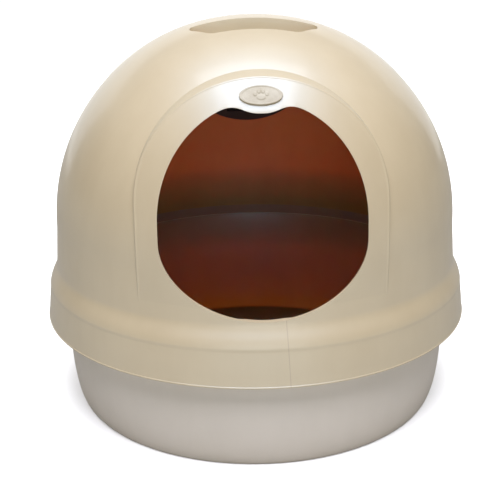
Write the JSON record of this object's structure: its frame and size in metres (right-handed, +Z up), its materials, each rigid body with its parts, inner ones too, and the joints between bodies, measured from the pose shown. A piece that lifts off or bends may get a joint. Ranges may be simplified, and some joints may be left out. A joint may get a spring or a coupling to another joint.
{
  "type": "hooded litter box",
  "caption": "Round cat litter box: a deep pan with a lift-off domed hood, raised entry panel, carry strap and a hinged filter cover inside.",
  "frame": {"origin": "centre of the pan's flat underside, on the floor", "axes": "+Z up; the entry in the hood faces -Y; +X is to the right seen from the entry side"},
  "size_m": [0.56, 0.56, 0.497],
  "materials": {
    "pan_plastic": "pinkish beige, satin, faint pearl",
    "hood_plastic": "pearl cream, semi-gloss",
    "badge_plastic": "darker beige, fine matte texture",
    "cover_plastic": "dark warm grey, satin",
    "carbon_foam": "charcoal filter felt",
    "pin_plastic": "beige, satin"
  },
  "bodies": {
    "base": {"pan": "pan_plastic"},
    "hood": {"hood": "hood_plastic", "badge": "badge_plastic", "hinge_pin": "pin_plastic"},
    "filter_cover": {"filter_cover": "cover_plastic", "filter_pad": "carbon_foam"}
  },
  "joints": [
    {"name": "hood_lift", "type": "slide", "parent": "base", "child": "hood", "axis": [0, 0, 1], "range_m": [0, 0.2]},
    {"name": "filter_cover_hinge", "type": "hinge", "parent": "hood", "child": "filter_cover", "pos_m": [0, 0.13358, 0.45069], "axis": [-1, 0, 0], "range_deg": [0, 70]}
  ]
}
